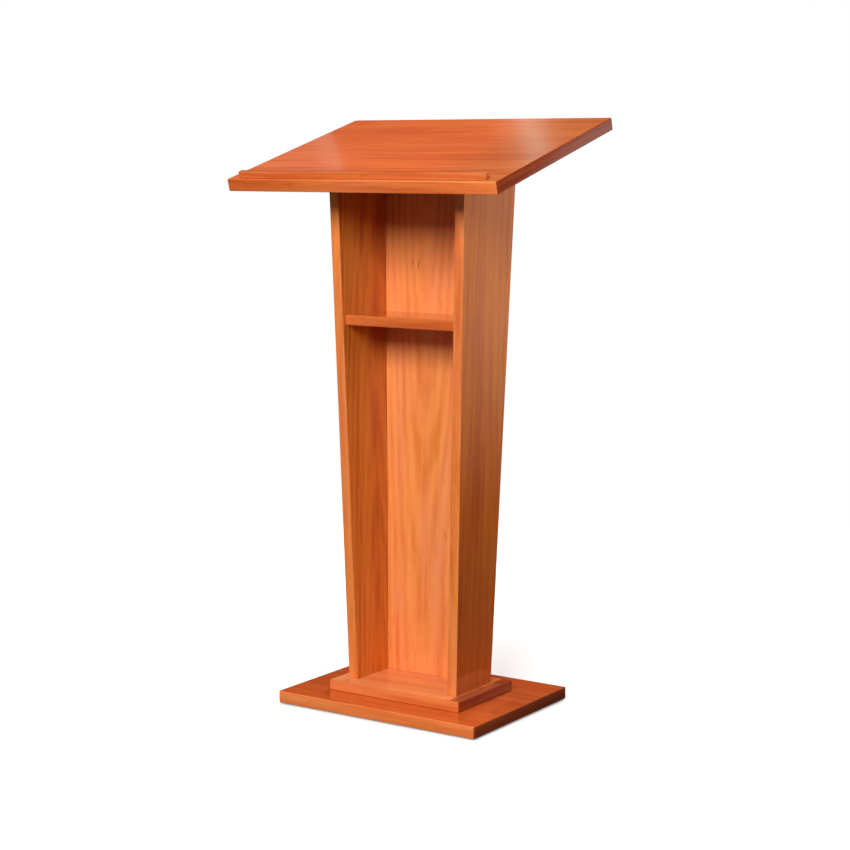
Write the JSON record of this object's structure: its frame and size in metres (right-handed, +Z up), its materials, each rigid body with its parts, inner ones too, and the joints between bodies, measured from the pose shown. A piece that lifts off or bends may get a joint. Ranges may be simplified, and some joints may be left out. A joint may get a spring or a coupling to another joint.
{
  "type": "presentation lectern",
  "caption": "Free-standing lectern: a sloping desk with a book stop on a flared column, open to the speaker with a fixed shelf, on a stepped foot.",
  "frame": {"origin": "on the floor, below the middle of the desk board", "axes": "+Z up, -Y towards the speaker (the column's open side), +Y towards the audience, +X to the speaker's right"},
  "size_m": [0.6, 0.4334, 1.1497],
  "materials": {
    "cherry_face": "cherry veneer under satin-gloss lacquer",
    "cherry_edge": "cherry edge banding under satin-gloss lacquer",
    "beech": "plain sanded",
    "zinc_screw": "zinc plated",
    "black_nylon": "moulded"
  },
  "bodies": {
    "root": {"base_plate": "cherry_face", "plinth": "cherry_face", "side_panel_left": "cherry_face", "side_panel_right": "cherry_face", "front_panel": "cherry_face", "shelf": "cherry_face", "desk_board": "cherry_face", "base_plate_edge_band": "cherry_edge", "plinth_edge_band": "cherry_edge", "desk_board_edge_band": "cherry_edge", "shelf_edge_band": "cherry_edge", "side_edge_band_left_speaker": "cherry_edge", "side_edge_band_left_audience": "cherry_edge", "side_edge_band_right_speaker": "cherry_edge", "side_edge_band_right_audience": "cherry_edge", "book_stop": "cherry_edge", "cleat_left": "beech", "cleat_right": "beech", "front_dowel_left_1": "beech", "front_dowel_left_2": "beech", "front_dowel_left_3": "beech", "front_dowel_right_1": "beech", "front_dowel_right_2": "beech", "front_dowel_right_3": "beech", "shelf_dowel_left_speaker": "beech", "shelf_dowel_left_audience": "beech", "shelf_dowel_right_speaker": "beech", "shelf_dowel_right_audience": "beech", "stop_pin_1": "beech", "stop_pin_2": "beech", "stop_pin_3": "beech", "base_screw_left_speaker": "zinc_screw", "base_screw_left_audience": "zinc_screw", "base_screw_right_speaker": "zinc_screw", "base_screw_right_audience": "zinc_screw", "panel_screw_left_speaker": "zinc_screw", "panel_screw_left_audience": "zinc_screw", "panel_screw_right_speaker": "zinc_screw", "panel_screw_right_audience": "zinc_screw", "front_screw_left": "zinc_screw", "front_screw_right": "zinc_screw", "cleat_side_screw_left_speaker": "zinc_screw", "cleat_side_screw_left_audience": "zinc_screw", "cleat_side_screw_right_speaker": "zinc_screw", "cleat_side_screw_right_audience": "zinc_screw", "cleat_desk_screw_left_speaker": "zinc_screw", "cleat_desk_screw_left_audience": "zinc_screw", "cleat_desk_screw_right_speaker": "zinc_screw", "cleat_desk_screw_right_audience": "zinc_screw", "glide_left_speaker": "black_nylon", "glide_left_audience": "black_nylon", "glide_right_speaker": "black_nylon", "glide_right_audience": "black_nylon"}
  },
  "joints": []
}
